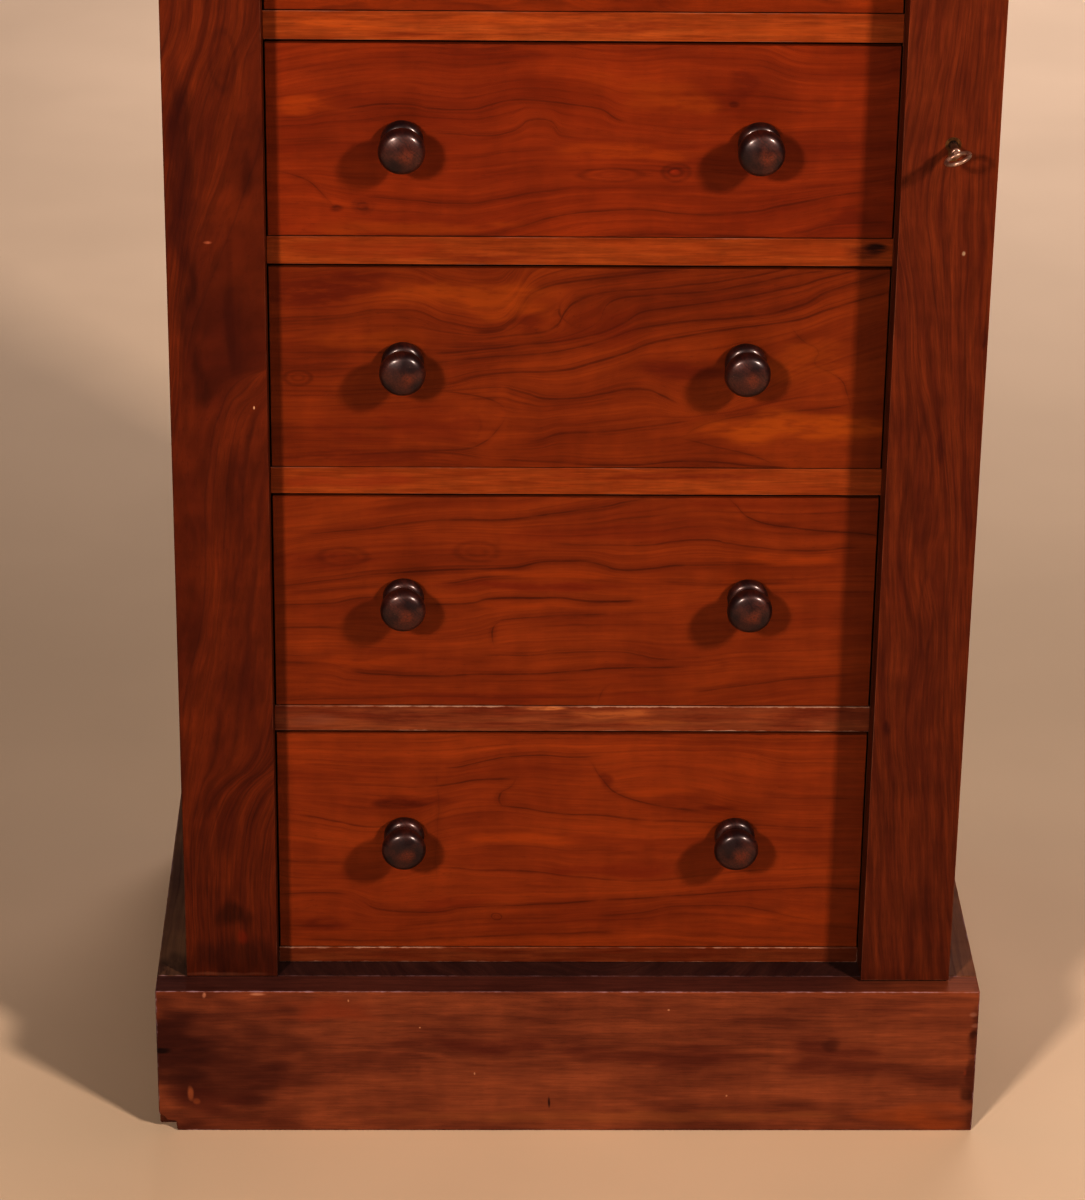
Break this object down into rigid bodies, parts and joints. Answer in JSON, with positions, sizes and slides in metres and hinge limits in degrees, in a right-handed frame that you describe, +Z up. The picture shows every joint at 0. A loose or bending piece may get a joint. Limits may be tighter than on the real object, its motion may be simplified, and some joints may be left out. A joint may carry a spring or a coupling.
{
  "type": "semainier",
  "caption": "Tall narrow chest of drawers on a plain plinth, with turned knobs, a fixed pilaster and a hinged locking pilaster worked by a key.",
  "frame": {"origin": "centre of the whole piece's box, at floor level", "axes": "+Z up, the drawers face -Y, +X towards the hinged pilaster"},
  "size_m": [0.582, 0.453, 1.262],
  "materials": {
    "walnut_fronts": "gloss",
    "walnut_pilasters": "gloss",
    "walnut_rails": "gloss",
    "walnut_case": "gloss",
    "walnut_plinth": "satin",
    "pine": "matte",
    "dark_hardwood": "gloss",
    "brass": "aged",
    "steel": "aged"
  },
  "bodies": {
    "carcass": {"plinth_front": "walnut_plinth", "plinth_sides": "walnut_plinth", "plinth_back": "pine", "plinth_blocks": "pine", "side_left": "walnut_case", "side_right": "walnut_case", "carcass_bottom": "pine", "sub_top": "pine", "top_rail": "walnut_rails", "back_boards": "pine", "stile_left": "walnut_rails", "stile_right": "walnut_rails", "pilaster_left": "walnut_pilasters", "drawer_rails": "walnut_rails", "bottom_rail": "walnut_rails", "drawer_runners": "pine", "drawer_guides": "pine", "drawer_stops": "pine", "frieze": "walnut_case", "top_board": "walnut_case", "top_moulding": "walnut_case", "hinge_leaves_carcass": "brass", "hinge_pins": "brass", "carcass_screws": "steel", "link_plate": "steel"},
    "drawer_1": {"drawer_1_front": "walnut_fronts", "drawer_1_box": "pine", "drawer_1_bottom": "pine", "drawer_1_knobs": "dark_hardwood"},
    "drawer_2": {"drawer_2_front": "walnut_fronts", "drawer_2_box": "pine", "drawer_2_bottom": "pine", "drawer_2_knobs": "dark_hardwood"},
    "drawer_3": {"drawer_3_front": "walnut_fronts", "drawer_3_box": "pine", "drawer_3_bottom": "pine", "drawer_3_knobs": "dark_hardwood"},
    "drawer_4": {"drawer_4_front": "walnut_fronts", "drawer_4_box": "pine", "drawer_4_bottom": "pine", "drawer_4_knobs": "dark_hardwood"},
    "drawer_5": {"drawer_5_front": "walnut_fronts", "drawer_5_box": "pine", "drawer_5_bottom": "pine", "drawer_5_knobs": "dark_hardwood"},
    "drawer_6": {"drawer_6_front": "walnut_fronts", "drawer_6_box": "pine", "drawer_6_bottom": "pine", "drawer_6_knobs": "dark_hardwood"},
    "drawer_7": {"drawer_7_front": "walnut_fronts", "drawer_7_box": "pine", "drawer_7_bottom": "pine", "drawer_7_knobs": "dark_hardwood"},
    "flap": {"flap": "walnut_pilasters", "hinge_leaves_flap": "brass", "flap_screws": "steel", "lock_case": "brass", "escutcheon": "brass"},
    "key": {"key": "steel"},
    "lock_bolt": {"lock_bolt": "steel"}
  },
  "joints": [
    {"name": "drawer_1_slide", "type": "slide", "parent": "carcass", "child": "drawer_1", "axis": [0, -1, 0], "range_m": [0, 0.3]},
    {"name": "drawer_2_slide", "type": "slide", "parent": "carcass", "child": "drawer_2", "axis": [0, -1, 0], "range_m": [0, 0.3]},
    {"name": "drawer_3_slide", "type": "slide", "parent": "carcass", "child": "drawer_3", "axis": [0, -1, 0], "range_m": [0, 0.3]},
    {"name": "drawer_4_slide", "type": "slide", "parent": "carcass", "child": "drawer_4", "axis": [0, -1, 0], "range_m": [0, 0.3]},
    {"name": "drawer_5_slide", "type": "slide", "parent": "carcass", "child": "drawer_5", "axis": [0, -1, 0], "range_m": [0, 0.3]},
    {"name": "drawer_6_slide", "type": "slide", "parent": "carcass", "child": "drawer_6", "axis": [0, -1, 0], "range_m": [0, 0.3]},
    {"name": "drawer_7_slide", "type": "slide", "parent": "carcass", "child": "drawer_7", "axis": [0, -1, 0], "range_m": [0, 0.3]},
    {"name": "flap_hinge", "type": "hinge", "parent": "carcass", "child": "flap", "pos_m": [0.2708, -0.163, 0.65], "axis": [0, 0, 1], "range_deg": [0, 175]},
    {"name": "key_turn", "type": "hinge", "parent": "flap", "child": "key", "pos_m": [0.24, -0.19, 0.7385], "axis": [0, 1, 0], "range_deg": [-68, 112]},
    {"name": "bolt_lift", "type": "slide", "parent": "flap", "child": "lock_bolt", "axis": [0, 0, 1], "range_m": [-0.0023, 0.0038]}
  ],
  "couplings": [
    {"joint": "bolt_lift", "follows": "key_turn", "m_per_rad": 0.0019099}
  ]
}
